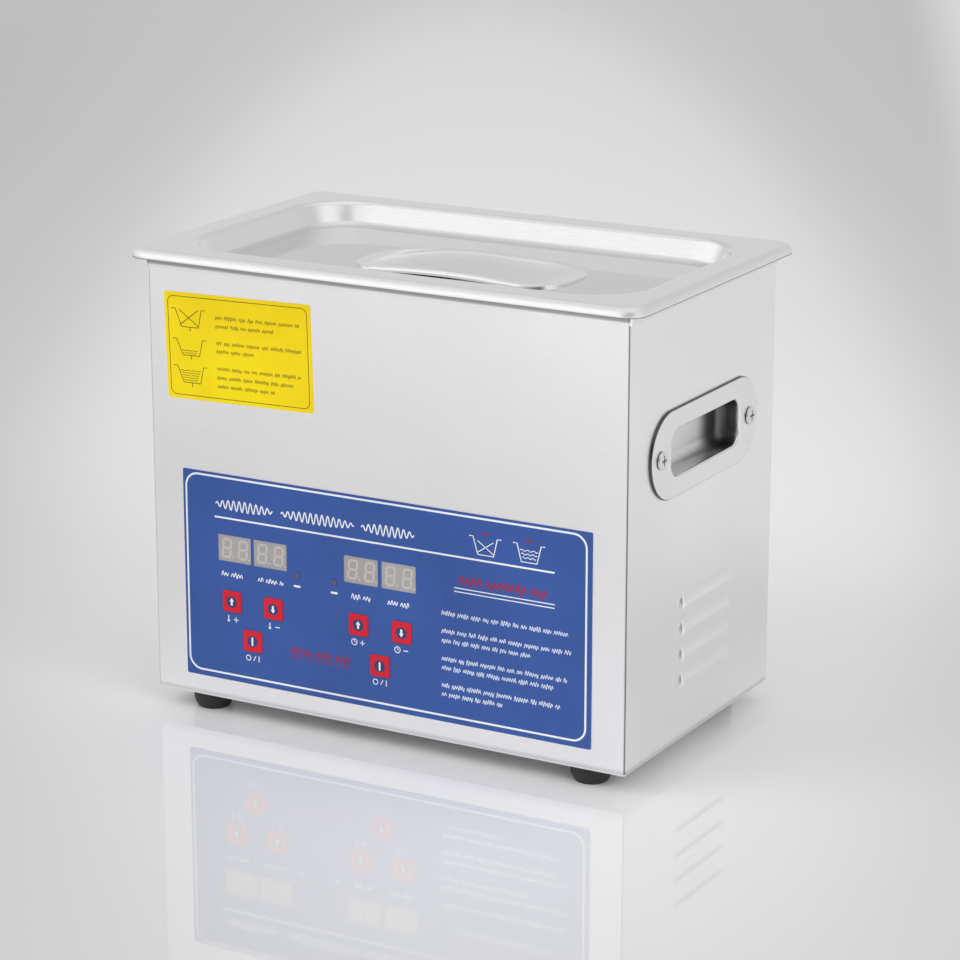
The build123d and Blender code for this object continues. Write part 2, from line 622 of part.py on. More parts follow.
# ---------------------------------------------------------------- fan
def make_fan():
    """Axial fan behind the rear vent: square frame and a turning rotor."""
    y0, y1 = INNER_REAR_Y - FAN_T, INNER_REAR_Y
    half = FAN_SIZE / 2
    frame = block(FAN_X - half, FAN_X + half, y0, y1, FAN_Z - half, FAN_Z + half)
    frame = fillet(frame.edges().filter_by(Axis.Y), 4)
    frame -= rod_y(FAN_X, FAN_Z, 28, y0 - 1, y1 + 1)
    for angle in (0, 90, 180, 270):
        spoke = block(0, 28.5, -1.5, 1.5, -1.2, 1.2)
        turned = Pos(FAN_X, y0 + 1.5, FAN_Z) * Rot(Y=angle + 45) * spoke
        frame += turned
    frame += rod_y(FAN_X, FAN_Z, 11, y0, y0 + 3)
    frame += rod_y(FAN_X, FAN_Z, 2, y0 + 3, y1 - 3)
    offsets = (-FAN_SCREW_OFFSET, FAN_SCREW_OFFSET)
    holes = [(dx, dz) for dx in offsets for dz in offsets]
    for dx, dz in holes:
        frame -= rod_y(FAN_X + dx, FAN_Z + dz, 1.95, y0 - 1, y1 + 1)
    save("fan_frame", frame)

    hub = rod_y(FAN_X, FAN_Z, 12, y0 + 3.6, y1 - 1.6)
    hub -= rod_y(FAN_X, FAN_Z, 2.05, y0, y1 - 2.9)
    rotor = hub
    for i in range(7):
        blade = Pos(18.6, 0, 0) * Rot(X=38) * Box(15, 8.4, 1.2)
        rotor += Pos(FAN_X, (y0 + y1) / 2 + 1.0, FAN_Z) * Rot(Y=i * 360 / 7) * blade
    save("fan_rotor", rotor)

    screws = []
    for dx, dz in holes:
        seat = Location(wall("rear", FAN_X + dx, FAN_Z + dz))
        screws.append(seat * pan_screw(3.6, 2.2, 1.95, FAN_T * 0.7))
    save("fan_screws", group(screws))


# ---------------------------------------------------------------- mains inlet and switch
def make_inlet():
    """Panel inlet with a fuse drawer above its socket; returns the three pins."""
    def at(dx0, dx1, y0, y1, dz0, dz1):
        return block(INLET_X + dx0, INLET_X + dx1, y0, y1, INLET_Z + dz0, INLET_Z + dz1)

    back_y = REAR_Y - 24
    body = at(-13.9, 13.9, back_y, REAR_Y, -23.1, 23.1)
    flange = extrude(wall("rear", INLET_X, INLET_Z) * RectangleRounded(32, 64, 5), 3)
    flange = fillet(edges_at(flange, Axis.Y, REAR_Y + 3), 1)
    socket_sketch = make_face(Polyline(
        (-12.2, -8.6), (12.2, -8.6), (12.2, 3.6), (7.2, 8.6), (-7.2, 8.6), (-12.2, 3.6), close=True
    ))
    socket_plane = wall("rear", INLET_X, INLET_Z - 10, 3)
    cavity = extrude(socket_plane * socket_sketch, -18)
    drawer_hole = at(-12, 12, REAR_Y - 17, REAR_Y + 4, 6.0, 18.0)
    housing = body + flange - cavity - drawer_hole
    for dz in (-28, 28):
        housing -= through("rear", INLET_X, INLET_Z + dz, Circle(1.6))

    pins = []
    for dx, dz in ((-7, -12), (7, -12), (0, -8)):
        blade = at(dx - 1, dx + 1, back_y - 6, REAR_Y - 1, dz - 2, dz + 2)
        housing -= at(dx - 1, dx + 1, back_y - 1, REAR_Y - 14, dz - 2, dz + 2)
        pins.append(blade)
    save("mains_inlet", housing)

    drawer = at(-11.9, 11.9, REAR_Y - 16, REAR_Y + 4.2, 6.1, 17.9)
    drawer -= at(-10.2, 10.2, REAR_Y - 13, REAR_Y - 5, 8.4, 18.5)
    drawer -= at(-5, 5, REAR_Y + 3.2, REAR_Y + 5, 10.5, 13.5)
    save("fuse_drawer", drawer)
    fuse = Pos(INLET_X, REAR_Y - 9, INLET_Z + 11.2) * Rot(Y=90) * Cylinder(2.6, 20)
    save("fuse", fuse)
    screws = []
    for dz in (-28, 28):
        seat = Location(wall("rear", INLET_X, INLET_Z + dz, 3))
        screws.append(seat * pan_screw(2.8, 1.7, 1.5, 9))
    save("inlet_screws", group(screws))
    return pins


def make_power_switch():
    """Rocker switch housing and its rocker, off at rest; returns its terminal blades."""
    pivot_y = REAR_Y - 4.5
    rocker_r = 8.6
    body = block(SWITCH_X - 9.5, SWITCH_X + 9.5, REAR_Y - 22, REAR_Y, SWITCH_Z - 10.5, SWITCH_Z + 10.5)
    flange = extrude(wall("rear", SWITCH_X, SWITCH_Z) * RectangleRounded(23, 25, 1.5), 2)
    flange = fillet(edges_at(flange, Axis.Y, REAR_Y + 2), 0.8)
    cavity = rod_x(pivot_y, SWITCH_Z, rocker_r + 0.25, SWITCH_X - 7.3, SWITCH_X + 7.3)
    mouth = block(
        SWITCH_X - 7.3, SWITCH_X + 7.3, pivot_y, REAR_Y + 3,
        SWITCH_Z - rocker_r - 0.25, SWITCH_Z + rocker_r + 0.25,
    )
    blades = []
    for dz in (-5, 5):
        blades.append(block(
            SWITCH_X - 3, SWITCH_X + 3, REAR_Y - 30, REAR_Y - 22, SWITCH_Z + dz - 0.4, SWITCH_Z + dz + 0.4
        ))
    save("switch_housing", body + flange - cavity - mouth)

    x0, x1 = SWITCH_X - 7.1, SWITCH_X + 7.1
    dip = REAR_Y + 2.8
    half_h = 7.1
    lift = half_h * tan(radians(SWITCH_TILT))
    barrel = rod_x(pivot_y, SWITCH_Z, rocker_r, x0, x1)
    barrel &= block(x0, x1, pivot_y - rocker_r, pivot_y + 2, SWITCH_Z - 9, SWITCH_Z + 9)
    side = Plane(origin=(x0, 0, SWITCH_Z), x_dir=(0, 1, 0), z_dir=(1, 0, 0))
    paddle = extrude(side * make_face(Polyline(
        (pivot_y, -half_h), (dip + lift, -half_h), (dip, 0), (dip + lift, half_h),
        (pivot_y, half_h), close=True
    )), x1 - x0)
    about = Pos(SWITCH_X, pivot_y, SWITCH_Z)
    tilt = about * Rot(X=-SWITCH_TILT) * about.inverse()
    save("power_rocker", tilt * (barrel + paddle))
    return blades


# ---------------------------------------------------------------- basket
def make_basket():
    """Slotted sheet basket that stands in the tank, with two lifting hoops."""
    z0 = TANK_FLOOR + 6
    outer = prism(BASKET_W, BASKET_D, 12, z0, z0 + BASKET_H)
    outer = fillet(edges_at(outer, Axis.Z, z0), 5)
    inner = prism(BASKET_W - 1.6, BASKET_D - 1.6, 11.2, z0 + 0.8, z0 + BASKET_H + 1)
    inner = fillet(edges_at(inner, Axis.Z, z0 + 0.8), 4.2)
    shell = outer - inner
    bead = prism(BASKET_W + 3, BASKET_D + 3, 13.5, z0 + BASKET_H - 3, z0 + BASKET_H)
    shell += bead - prism(BASKET_W - 1.6, BASKET_D - 1.6, 11.2, z0, z0 + BASKET_H + 1)
    slot = SlotOverall(28, 4)
    columns = [-70, -35, 0, 35, 70]
    for x in columns:
        for y in (-30, -15, 0, 15, 30):
            shell -= extrude(Pos(x, y, z0 - 1) * slot, 4)
        for row in range(3):
            z = z0 + 12 + row * 12
            shell -= extrude(Plane(origin=(x, 0, z), x_dir=(1, 0, 0), z_dir=(0, -1, 0)) * slot, 60, both=True)
    for y in (-20, 20):
        for row in range(3):
            z = z0 + 12 + row * 12
            shell -= extrude(Plane(origin=(0, y, z), x_dir=(0, 1, 0), z_dir=(1, 0, 0)) * slot, 110, both=True)
    for x in (-87, 87):
        for y in (-37, 37):
            shell += rod_z(x, y, 3.5, TANK_FLOOR, z0 + 0.4)
    save("basket", shell)

    hoops = []
    rod_r = 1.5
    for sign in (-1, 1):
        x = sign * (BASKET_W / 2 + 1.5 + rod_r)
        low = z0 + BASKET_H - 3 - 10
        high = z0 + BASKET_H + 16
        path = FilletPolyline((x, -26, low), (x, -26, high), (x, 26, high), (x, 26, low), radius=9)
        ring = Plane(origin=(x, -26, low), x_dir=(1, 0, 0), z_dir=(0, 0, 1)) * Circle(rod_r)
        hoops.append(sweep(ring, path))
    save("basket_hoops", group(hoops))


# ---------------------------------------------------------------- write everything
os.makedirs("parts", exist_ok=True)
save("casing", make_casing())
save("base_plate", make_base_plate())
make_feet()
foot_nuts = make_foot_screws()
base_screws = make_base_screws()
save("tank", make_tank())
save("flange_gasket", make_gasket())
save("lid", make_lid())
save("lid_grip", make_lid_grip())
save("handle_right", make_handle("right"))
save("handle_left", make_handle("left"))
handle_nuts = make_handle_screws()
save("m4_nuts", group(foot_nuts + handle_nuts))
save("panel_overlay", make_overlay())
make_displays()
make_lamps()
make_keys()
save("info_label", make_label())
make_transducers()
make_heater()
control_posts, control_screws = make_control_board()
power_posts, power_screws = make_generator()
save("board_standoffs", group(control_posts + power_posts))
save("m3_screws", group(base_screws + control_screws + power_screws))
make_fan()
inlet_pins = make_inlet()
switch_blades = make_power_switch()
save("mains_contacts", group(inlet_pins + switch_blades))
make_basket()
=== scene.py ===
import json
import math
import random

import bmesh
import bpy
from mathutils import Matrix, Vector


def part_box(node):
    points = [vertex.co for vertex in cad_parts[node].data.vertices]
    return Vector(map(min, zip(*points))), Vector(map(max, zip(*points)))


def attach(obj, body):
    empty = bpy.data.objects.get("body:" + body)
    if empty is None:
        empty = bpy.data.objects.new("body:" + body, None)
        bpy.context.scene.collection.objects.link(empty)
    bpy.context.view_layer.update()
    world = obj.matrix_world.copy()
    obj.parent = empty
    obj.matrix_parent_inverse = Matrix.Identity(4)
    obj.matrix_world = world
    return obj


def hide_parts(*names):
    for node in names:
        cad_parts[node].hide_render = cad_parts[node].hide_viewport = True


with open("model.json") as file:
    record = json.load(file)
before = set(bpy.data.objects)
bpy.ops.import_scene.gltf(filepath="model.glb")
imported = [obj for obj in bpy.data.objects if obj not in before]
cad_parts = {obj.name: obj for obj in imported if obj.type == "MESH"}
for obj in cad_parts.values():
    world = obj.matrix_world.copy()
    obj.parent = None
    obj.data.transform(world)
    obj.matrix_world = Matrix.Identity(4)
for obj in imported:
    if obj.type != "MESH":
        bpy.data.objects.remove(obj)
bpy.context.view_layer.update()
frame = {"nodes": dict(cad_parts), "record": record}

MM = 0.001
SEED = 7

# ---------------------------------------------------------------- places, in millimetres
FRONT_Y = -75.0
OVERLAY_Y = -75.4         # face of the blue overlay
KEY_Y = -75.9             # face of a key
LABEL_Y = -75.25          # face of the yellow sticker
PANEL_BORDER = (-106.3, 22.0, 105.3, 118.2)     # left, bottom, right, top of the white line
PANEL_BORDER_R = 6.5
WINDOWS = [(-79.95, 84.1), (-60.25, 84.1), (-11.0, 84.1), (9.05, 84.1)]
WINDOW_W, WINDOW_H = 18.2, 12.8
KEYS = {
    "temp_up": (-81.8, 58.2, "up"),
    "temp_down": (-58.8, 58.2, "down"),
    "heat": (-70.6, 40.4, "bar"),
    "time_up": (-12.4, 58.0, "up"),
    "time_down": (10.7, 58.0, "down"),
    "sonic": (-1.0, 40.0, "bar"),
}
LABEL_X, LABEL_Z = -75.8, 179.4                 # the sticker's middle
LABEL_W, LABEL_H = 79.7, 50.4
LABEL_TILT = 1.4                                # degrees

# Bands where a metal is painted darker or turns duller: each runs from its first place to its second. Most
# dark bands are painted shade; the casing's foot band just turns darker towards the bottom.
# Painted shade: a dark line down each of the casing's upright corner folds.
FOLD_X, FOLD_Y = (124.1, 124.6), (74.1, 74.6)            # the casing's upright corners
# The casing's colour turns darker towards its bottom edge.
CASING_FOOT_Z = (12.5, 10.2)
# Painted shade on the tank's skirt and flange, under the lid's rim.
SKIRT_FACE_Y, SKIRT_SHADOW_Z = (75.0, 75.4), (215.2, 216.6)
FLANGE_SHADOW_Z = (217.4, 218.6)
# Painted shade: a dark line along the lid rim's lower edge, in the gap above the casing.
RIM_X, RIM_Y, RIM_SHADE_Z = (128.8, 129.8), (78.8, 79.8), (219.6, 219.2)
LID_CORNER_X, LID_CORNER_Y = (122.0, 125.5), (72.0, 75.5)
# The recess floor is painted a little darker, as shade, and made glossier.
RECESS_FLOOR_Z = (214.5, 212.9)
# Painted shade: a dark line round the handle plate's edges.
HANDLE_END_Y, HANDLE_TOP_Z, HANDLE_FOOT_Z = (36.5, 37.5), (161.0, 162.0), (134.6, 133.6)
HANDLE_EDGE_X = (126.25, 126.05)
# Painted shade in the handle's pocket: its far end and its lower wall.
POCKET_X, POCKET_END_Y, POCKET_LEDGE_Z = (125.4, 123.8), (12.0, 26.0), (141.0, 138.4)
# Painted shade under the screw heads.
SCREW_UNDERSIDE_X = (126.8, 126.5)

# Print on the blue panel.
TITLE_SPANS = ((-90.0, -58.5), (-54.0, -14.5), (-10.5, 17.5))
TITLE_V, TITLE_HEIGHT, TITLE_RULE_V = 105.2, 5.2, 98.7
BASIN_TOP, BASIN_BASE = 109.7, 101.4
HEADING_V, HEADING_RULES_V = 87.9, (83.95, 82.25)
WINDOW_LEGEND_SPANS = ((-87.5, -75.5), (-67.2, -53.0), (-16.2, -5.8), (3.2, 14.8))
WINDOW_LEGEND_V = 71.3
KEY_LEGEND_V, SWITCH_LEGEND_V = 49.5, 32.0
NOTE_LEFT = 31.6
NOTE_LINES = (                                            # height and right end of each line
    (71.0, 96.4), (62.5, 98.0), (57.9, 77.4), (49.3, 96.0), (44.9, 89.2), (36.5, 92.7), (32.2, 63.2),
)
# Print on the sticker, from its upper left corner: depth and right end, then top and base.
LABEL_LINES = (
    (10.5, 73.7), (14.5, 59.6), (22.4, 74.3), (26.3, 48.5), (34.4, 73.8), (38.7, 69.5), (42.9, 59.2),
)
LABEL_BASINS = ((7.7, 16.1), (21.9, 29.5), (34.7, 42.5))

# ---------------------------------------------------------------- studio
# The floor has a painted pool of light: pale near the object, falling off in an oval, in metres from the
# pool's centre.
POOL_CENTRE = (-0.292, 0.555, 0)
POOL_TURN = 29.45                    # degrees
POOL_HALF_WIDTH = 0.608
POOL_BEHIND, POOL_BEFORE = 4.02, 1.97
POOL_TONES = [
    (0.0, 0.92), (0.214, 0.91), (0.321, 0.89), (0.393, 0.85), (0.446, 0.77),
    (0.518, 0.63), (0.607, 0.58), (0.75, 0.52), (1.0, 0.445),
]
NEAR_TONE = 0.855                    # pale again well before the object
NEAR_START, NEAR_END = -1.00, -1.18
RIGHT_TONE = 0.86                    # and pale again well to its right, beyond a slanted line
RIGHT_START, RIGHT_END = 0.305, 0.392
RIGHT_SLANT = -0.10
TENT_BACK = [(0.0, 0.62), (0.22, 0.58), (0.5, 0.52), (0.75, 0.54), (1.0, 0.80)]
TENT_FRONT = [(0.0, 1.02), (0.20, 0.98), (0.40, 0.88), (0.64, 0.86), (0.84, 0.60), (1.0, 0.80)]
TENT_TURN_START, TENT_TURN_END = 0.30, -0.25     # where the back of the tent gives way to its front
TENT_STRENGTH = 1.15
DARK_SIDE = (0.473, -0.838, 0.272)   # direction of the dark opening in the tent
DARK_EDGE, DARK_MIDDLE = 0.82, 0.96  # cosines of the angles from it
DARK_TONE = 0.12
LIGHT_AIM = (0, 0, 0.1)
FLOOR_HALF = 12.0
CAMERA_PLACE = (0.7458, -1.3049, 0.5356)
CAMERA_AIM = (0.0090, 0.0, 0.11155)
CAMERA_LENS = 124.1                  # millimetres, on a 36 mm sensor


# ---------------------------------------------------------------- node material helpers
def smooth_step(tree, value, start, end):
    """0 to 1, smoothly, as a value goes from start to end."""
    node = tree.nodes.new("ShaderNodeMapRange")
    node.interpolation_type = "SMOOTHSTEP"
    node.inputs["From Min"].default_value = start
    node.inputs["From Max"].default_value = end
    tree.links.new(value, node.inputs["Value"])
    return node.outputs["Result"]


class Shader:
    """A node material whose Principled shader is built up with short calls."""

    def __init__(self, name, color, metallic=0.0, roughness=0.5, **sockets):
        self.material = bpy.data.materials.new(name)
        self.material.use_nodes = True
        self.tree = self.material.node_tree
        self.bsdf = self.tree.nodes["Principled BSDF"]
        self.bsdf.inputs["Base Color"].default_value = (*color, 1.0)
        self.bsdf.inputs["Metallic"].default_value = metallic
        self.bsdf.inputs["Roughness"].default_value = roughness
        for key, value in sockets.items():
            self.bsdf.inputs[key.replace("_", " ")].default_value = value
        self.color = color
        self.heights = None
        self.coords = self.node("ShaderNodeTexCoord").outputs["Object"]

    def node(self, kind, **settings):
        node = self.tree.nodes.new(kind)
        for key, value in settings.items():
            setattr(node, key, value)
        return node

    def link(self, source, target):
        self.tree.links.new(source, target)

    def noise(self, scale, stretch=(1, 1, 1), detail=3.0, rough=0.55, distortion=0.0):
        """Noise over the object's own coordinates, in metres, stretched along an axis."""
        mapping = self.node("ShaderNodeMapping")
        mapping.inputs["Scale"].default_value = stretch
        self.link(self.coords, mapping.inputs["Vector"])
        noise = self.node("ShaderNodeTexNoise")
        noise.inputs["Scale"].default_value = scale
        noise.inputs["Detail"].default_value = detail
        noise.inputs["Roughness"].default_value = rough
        noise.inputs["Distortion"].default_value = distortion
        self.link(mapping.outputs["Vector"], noise.inputs["Vector"])
        return noise.outputs["Fac"]

    def remap(self, value, low, high, start=0.35, end=0.65):
        """Map a 0-1 value from start-end to low-high."""
        node = self.node("ShaderNodeMapRange")
        node.inputs["From Min"].default_value = start
        node.inputs["From Max"].default_value = end
        node.inputs["To Min"].default_value = low
        node.inputs["To Max"].default_value = high
        self.link(value, node.inputs["Value"])
        return node.outputs["Result"]

    def vary_roughness(self, value, low, high):
        self.link(self.remap(value, low, high), self.bsdf.inputs["Roughness"])
        return self

    def vary_color(self, value, low, high):
        """Blend the base colour between two shades by a 0-1 value."""
        mix = self.node("ShaderNodeMix", data_type="RGBA")
        mix.inputs["A"].default_value = (*low, 1.0)
        mix.inputs["B"].default_value = (*high, 1.0)
        self.link(self.remap(value, 0.0, 1.0), mix.inputs["Factor"])
        self.link(mix.outputs["Result"], self.bsdf.inputs["Base Color"])
        return self

    def ramp(self, axis, start, end, absolute=False):
        """0 to 1 between two places in millimetres along an axis."""
        split = self.node("ShaderNodeSeparateXYZ")
        self.link(self.coords, split.inputs["Vector"])
        value = split.outputs["XYZ".index(axis)]
        if absolute:
            size = self.node("ShaderNodeMath", operation="ABSOLUTE")
            self.link(value, size.inputs[0])
            value = size.outputs["Value"]
        return self.between(value, start * MM, end * MM)

    def between(self, value, start, end):
        return smooth_step(self.tree, value, start, end)

    def blend(self, color, mask, tone):
        """A colour that turns to a grey where the mask is 1."""
        mix = self.node("ShaderNodeMix", data_type="RGBA")
        mix.inputs["B"].default_value = (tone, tone, tone, 1)
        self.link(mask, mix.inputs["Factor"])
        self.link(color, mix.inputs["A"])
        return mix.outputs["Result"]

    def math(self, operation, *values):
        """One arithmetic step on sockets and plain numbers."""
        node = self.node("ShaderNodeMath", operation=operation)
        for value, socket in zip(values, node.inputs):
            if isinstance(value, (int, float)):
                socket.default_value = value
            else:
                self.link(value, socket)
        return node.outputs["Value"]

    def darken(self, mask, factor):
        """Darken the base colour where the mask is 1, mostly as painted shade in folds, gaps and hollows."""
        base = self.bsdf.inputs["Base Color"]
        mix = self.node("ShaderNodeMix", data_type="RGBA", blend_type="MULTIPLY")
        mix.inputs["B"].default_value = (factor, factor, factor, 1.0)
        if base.is_linked:
            self.link(base.links[0].from_socket, mix.inputs["A"])
        else:
            mix.inputs["A"].default_value = base.default_value
        self.link(mask, mix.inputs["Factor"])
        self.link(mix.outputs["Result"], base)
        return self

    def roughen(self, mask, level):
        """Bring the roughness to a level where the mask is 1."""
        base = self.bsdf.inputs["Roughness"]
        node = self.node("ShaderNodeMapRange")
        node.inputs["To Max"].default_value = level
        self.link(base.links[0].from_socket, node.inputs["To Min"])
        self.link(mask, node.inputs["Value"])
        self.link(node.outputs["Result"], base)
        return self

    def bump(self, value, strength, distance=0.0002):
        bump = self.node("ShaderNodeBump")
        bump.inputs["Strength"].default_value = strength
        bump.inputs["Distance"].default_value = distance
        self.link(value, bump.inputs["Height"])
        if self.heights is not None:
            self.link(self.heights, bump.inputs["Normal"])
        self.heights = bump.outputs["Normal"]
        self.link(self.heights, self.bsdf.inputs["Normal"])
        return self


STEEL = (0.86, 0.85, 0.86)
PRESSED_STEEL = (0.88, 0.875, 0.88)
LID_STEEL = (0.93, 0.93, 0.93)
BRUSH = (1.0, 40.0, 40.0)            # grain drawn out along the sheet
LID_BRUSH = (1.0, 12.0, 12.0)
NO_BRUSH = (1, 1, 1)


def shade(color, factor):
    return tuple(min(1.0, channel * factor) for channel in color)


def sheet_shader(name, color, roughness, grain, spread=0.06, brush=BRUSH):
    """Stainless sheet: fine rolling grain along the sheet, faint smudges and small waviness."""
    shader = Shader(name, color, metallic=1.0, roughness=roughness)
    lines = shader.noise(120, stretch=brush, detail=4.0, rough=0.7)
    smudges = shader.noise(14, detail=3.0, distortion=0.4)
    shader.vary_roughness(smudges, roughness - spread, roughness + spread)
    shader.vary_color(lines, shade(color, 0.97), shade(color, 1.03))
    shader.bump(lines, grain, 0.00003)
    waviness = shader.noise(7, detail=1.0)
    shader.bump(waviness, 0.04, 0.0006)
    return shader


def sheet_metal(*settings):
    return sheet_shader(*settings).material


def casing_metal():
    """Satin sheet with painted shade as a dark line in each vertical fold, and a lower edge that turns
    darker.
    """
    shader = sheet_shader("casing_satin_stainless", (0.96, 0.945, 0.957), 0.34, 0.05)
    # Painted shade down each upright corner fold.
    fold = shader.math("MULTIPLY", shader.ramp("X", *FOLD_X, True), shader.ramp("Y", *FOLD_Y, True))
    shader.darken(fold, 0.26)
    # Darker towards the bottom edge.
    shader.darken(shader.ramp("Z", *CASING_FOOT_Z), 0.75)
    return shader.material


def tank_metal():
    """Polished pressing with painted shade: the skirt and the flange are painted dark under the lid's rim."""
    shader = sheet_shader("tank_stainless", PRESSED_STEEL, 0.22, 0.05)
    # Painted shade: skirt and flange darkened where the lid's rim overhangs them.
    skirt = shader.ramp("Y", *SKIRT_FACE_Y, True)
    shader.darken(shader.math("MULTIPLY", skirt, shader.ramp("Z", *SKIRT_SHADOW_Z)), 0.40)
    shader.darken(shader.ramp("Z", *FLANGE_SHADOW_Z), 0.45)
    return shader.material


def lid_metal():
    """Polished pressing: painted shade as a dark line along the rim's lower edge, duller rim and corners, and
    a glossier recess floor painted a little darker, as shade.
    """
    shader = sheet_shader("lid_stainless", LID_STEEL, 0.15, 0.03, 0.03, LID_BRUSH)
    rim = shader.math("MAXIMUM", shader.ramp("X", *RIM_X, True), shader.ramp("Y", *RIM_Y, True))
    # Painted shade along the rim's lower edge.
    shader.darken(shader.math("MULTIPLY", rim, shader.ramp("Z", *RIM_SHADE_Z)), 0.3)
    shader.roughen(rim, 0.27)
    corner = shader.math(
        "MULTIPLY", shader.ramp("X", *LID_CORNER_X, True), shader.ramp("Y", *LID_CORNER_Y, True)
    )
    shader.roughen(corner, 0.50)
    # Painted shade: the recess floor a little darker; glossier too.
    floor_mask = shader.ramp("Z", *RECESS_FLOOR_Z)
    shader.darken(floor_mask, 0.83)
    shader.roughen(floor_mask, 0.07)
    return shader.material


def handle_metal():
    """Satin plate with painted shade along its rounded edges; the pocket's far end and lower wall are painted
    dark, as shade.
    """
    shader = sheet_shader("handle_stainless", PRESSED_STEEL, 0.26, 0.05, 0.05)
    outside = shader.math(
        "MAXIMUM", shader.ramp("Y", *HANDLE_END_Y, True), shader.ramp("Z", *HANDLE_TOP_Z)
    )
    outside = shader.math("MAXIMUM", outside, shader.ramp("Z", *HANDLE_FOOT_Z))
    # Painted shade along the plate's edges, where it meets the casing.
    shader.darken(shader.math("MULTIPLY", outside, shader.ramp("X", *HANDLE_EDGE_X, True)), 0.12)
    pocket = shader.ramp("X", *POCKET_X, True)
    shader.roughen(pocket, 0.42)
    # Painted shade at the pocket's far end and on its lower wall.
    shader.darken(shader.math("MULTIPLY", pocket, shader.ramp("Y", *POCKET_END_Y)), 0.18)
    shader.darken(shader.math("MULTIPLY", pocket, shader.ramp("Z", *POCKET_LEDGE_Z)), 0.90)
    return shader.material


def handle_screw_metal():
    """Bright plated heads, with painted shade where they meet the handle plate."""
    shader = sheet_shader("screw_zinc_plate", (0.84, 0.84, 0.84), 0.38, 0.04, 0.05, NO_BRUSH)
    # Painted shade round the heads' undersides.
    shader.darken(shader.ramp("X", *SCREW_UNDERSIDE_X, True), 0.12)
    return shader.material


def moulded(name, color, roughness, grain=0.12, scale=900, coat=0.0):
    """Moulded plastic or rubber: fine spark-eroded grain and slightly uneven gloss."""
    shader = Shader(name, color, roughness=roughness, Coat_Weight=coat, Coat_Roughness=0.15)
    fine = shader.noise(scale, detail=2.0)
    broad = shader.noise(35, detail=2.0)
    shader.vary_color(broad, shade(color, 0.9), shade(color, 1.12))
    shader.vary_roughness(broad, roughness - 0.05, roughness + 0.05)
    shader.bump(fine, grain, 0.00005)
    return shader.material


def printed_film(name, color, roughness, coat=0.25):
    """Screen-printed plastic film: velvet grain, faint ink mottle and a thin clear coat."""
    shader = Shader(
        name, color, roughness=roughness, Coat_Weight=coat, Coat_Roughness=0.2, Specular_IOR_Level=0.25
    )
    mottle = shader.noise(22, detail=3.0)
    shader.vary_color(mottle, shade(color, 0.93), shade(color, 1.07))
    shader.vary_roughness(mottle, roughness - 0.04, roughness + 0.04)
    shader.bump(shader.noise(1400, detail=2.0), 0.08, 0.00003)
    return shader.material


def clear_pane(name, color, alpha):
    """Thin clear film that shows what is behind it, with a soft gloss."""
    shader = Shader(name, color, roughness=0.12, Alpha=alpha, Specular_IOR_Level=0.5)
    shader.bump(shader.noise(60, detail=2.0), 0.03, 0.0001)
    shader.vary_roughness(shader.noise(40), 0.08, 0.16)
    return shader.material


def wound_wire(name, color):
    """Enamelled wire laid side by side: the bands across each turn are painted shade and sheen, over a
    matching bump.
    """
    shader = Shader(name, color, metallic=0.9, roughness=0.35)
    wave = shader.node("ShaderNodeTexWave", bands_direction="Z")
    wave.inputs["Scale"].default_value = 320
    wave.inputs["Distortion"].default_value = 0.6
    shader.link(shader.coords, wave.inputs["Vector"])
    shader.vary_color(wave.outputs["Fac"], shade(color, 0.6), shade(color, 1.15))
    shader.bump(wave.outputs["Fac"], 0.6, 0.0003)
    return shader.material


def circuit_board(name, color):
    """Green solder mask with copper tracks showing through and tinned pads."""
    shader = Shader(name, color, roughness=0.35, Coat_Weight=0.4, Coat_Roughness=0.2)
    brick = shader.node("ShaderNodeTexBrick")
    brick.inputs["Scale"].default_value = 110
    brick.inputs["Color1"].default_value = (*shade(color, 0.85), 1.0)
    brick.inputs["Color2"].default_value = (*color, 1.0)
    brick.inputs["Mortar"].default_value = (*shade(color, 1.7), 1.0)
    brick.inputs["Mortar Size"].default_value = 0.03
    shader.link(shader.coords, brick.inputs["Vector"])
    shader.link(brick.outputs["Color"], shader.bsdf.inputs["Base Color"])
    shader.bump(brick.outputs["Fac"], 0.2, 0.0001)
    return shader.material


